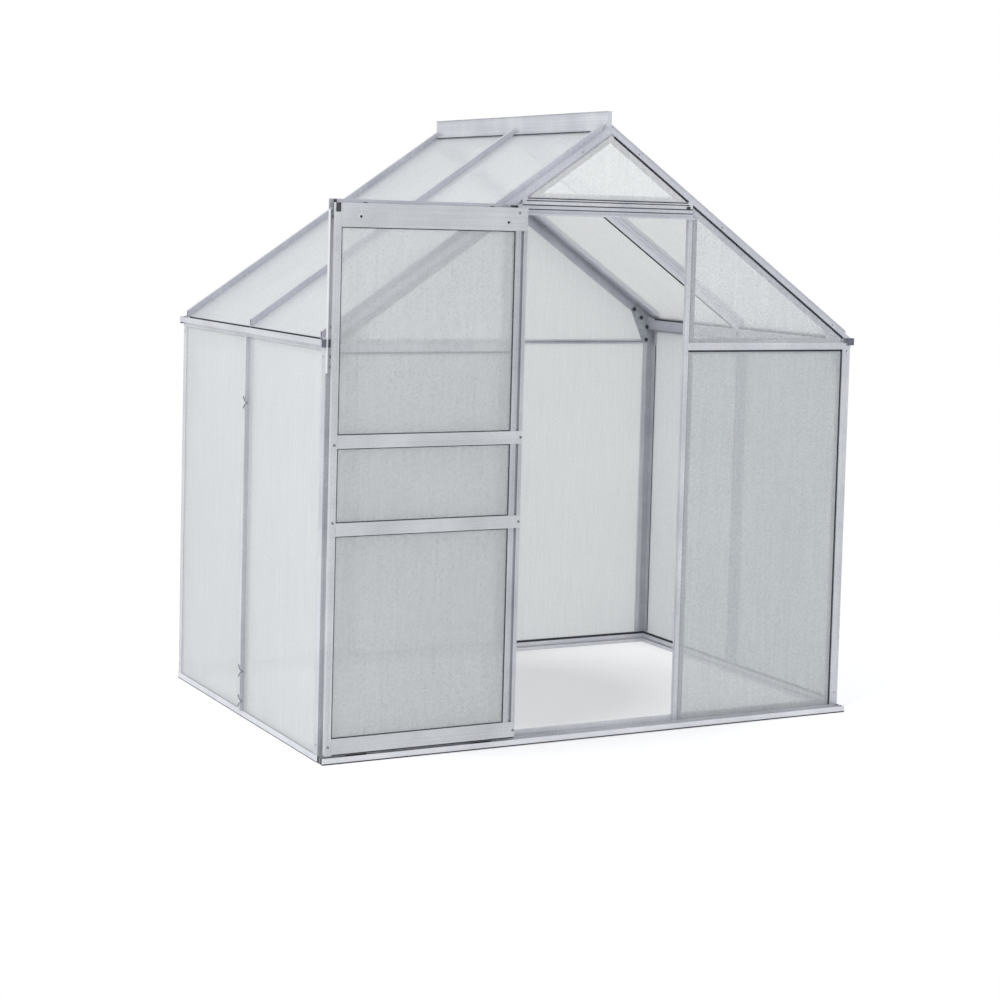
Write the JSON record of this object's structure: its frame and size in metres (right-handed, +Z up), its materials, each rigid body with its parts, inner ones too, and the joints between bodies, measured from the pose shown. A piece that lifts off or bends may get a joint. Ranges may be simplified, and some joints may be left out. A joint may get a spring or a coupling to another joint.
{
  "type": "greenhouse",
  "caption": "Small gable-roofed greenhouse of bolted aluminium bars and twin-wall polycarbonate panels, with a top-hung sliding door on its front gable.",
  "frame": {"origin": "on the ground, in the middle of the whole footprint", "axes": "+Z up; +X along the front gable, the way the door slides to close; -Y is the side with the door"},
  "size_m": [1.9, 1.3, 1.95],
  "materials": {
    "aluminium": "mill finish, satin",
    "polycarbonate": "milky twin-wall sheet",
    "steel": "zinc plated",
    "nylon": "matt black"
  },
  "bodies": {
    "frame": {"apex_plates": "steel", "back_eaves_bars": "aluminium", "back_lower_panels": "polycarbonate", "back_stud_left": "aluminium", "back_stud_right": "aluminium", "back_upper_panels": "polycarbonate", "corner_post_back_left": "aluminium", "corner_post_back_right": "aluminium", "corner_post_front_left": "aluminium", "corner_post_front_right": "aluminium", "door_bottom_track": "aluminium", "door_head_bar": "aluminium", "door_jamb_left": "aluminium", "door_jamb_right": "aluminium", "door_top_track": "aluminium", "eaves_plates": "steel", "front_eaves_bars": "aluminium", "front_lower_panels": "polycarbonate", "front_top_panel": "polycarbonate", "front_upper_panels": "polycarbonate", "gable_rafter_back_left": "aluminium", "gable_rafter_back_right": "aluminium", "gable_rafter_front_left": "aluminium", "gable_rafter_front_right": "aluminium", "gutter_left": "aluminium", "gutter_right": "aluminium", "left_roof_panels": "polycarbonate", "left_wall_panels": "polycarbonate", "ridge": "aluminium", "right_roof_panels": "polycarbonate", "right_wall_panels": "polycarbonate", "roof_bar_left": "aluminium", "roof_bar_right": "aluminium", "side_stud_left": "aluminium", "side_stud_right": "aluminium", "sill_back": "aluminium", "sill_front": "aluminium", "sill_left": "aluminium", "sill_right": "aluminium", "track_support": "aluminium"},
    "door": {"door_bottom_rail": "aluminium", "door_guides": "nylon", "door_hangers": "steel", "door_header": "aluminium", "door_lower_rail": "aluminium", "door_panel_bottom": "polycarbonate", "door_panel_middle": "polycarbonate", "door_panel_top": "polycarbonate", "door_rollers": "nylon", "door_stile_left": "aluminium", "door_stile_right": "aluminium", "door_upper_rail": "aluminium"}
  },
  "joints": [
    {"name": "door_slide", "type": "slide", "parent": "frame", "child": "door", "axis": [1, 0, 0], "range_m": [0, 0.616]}
  ]
}
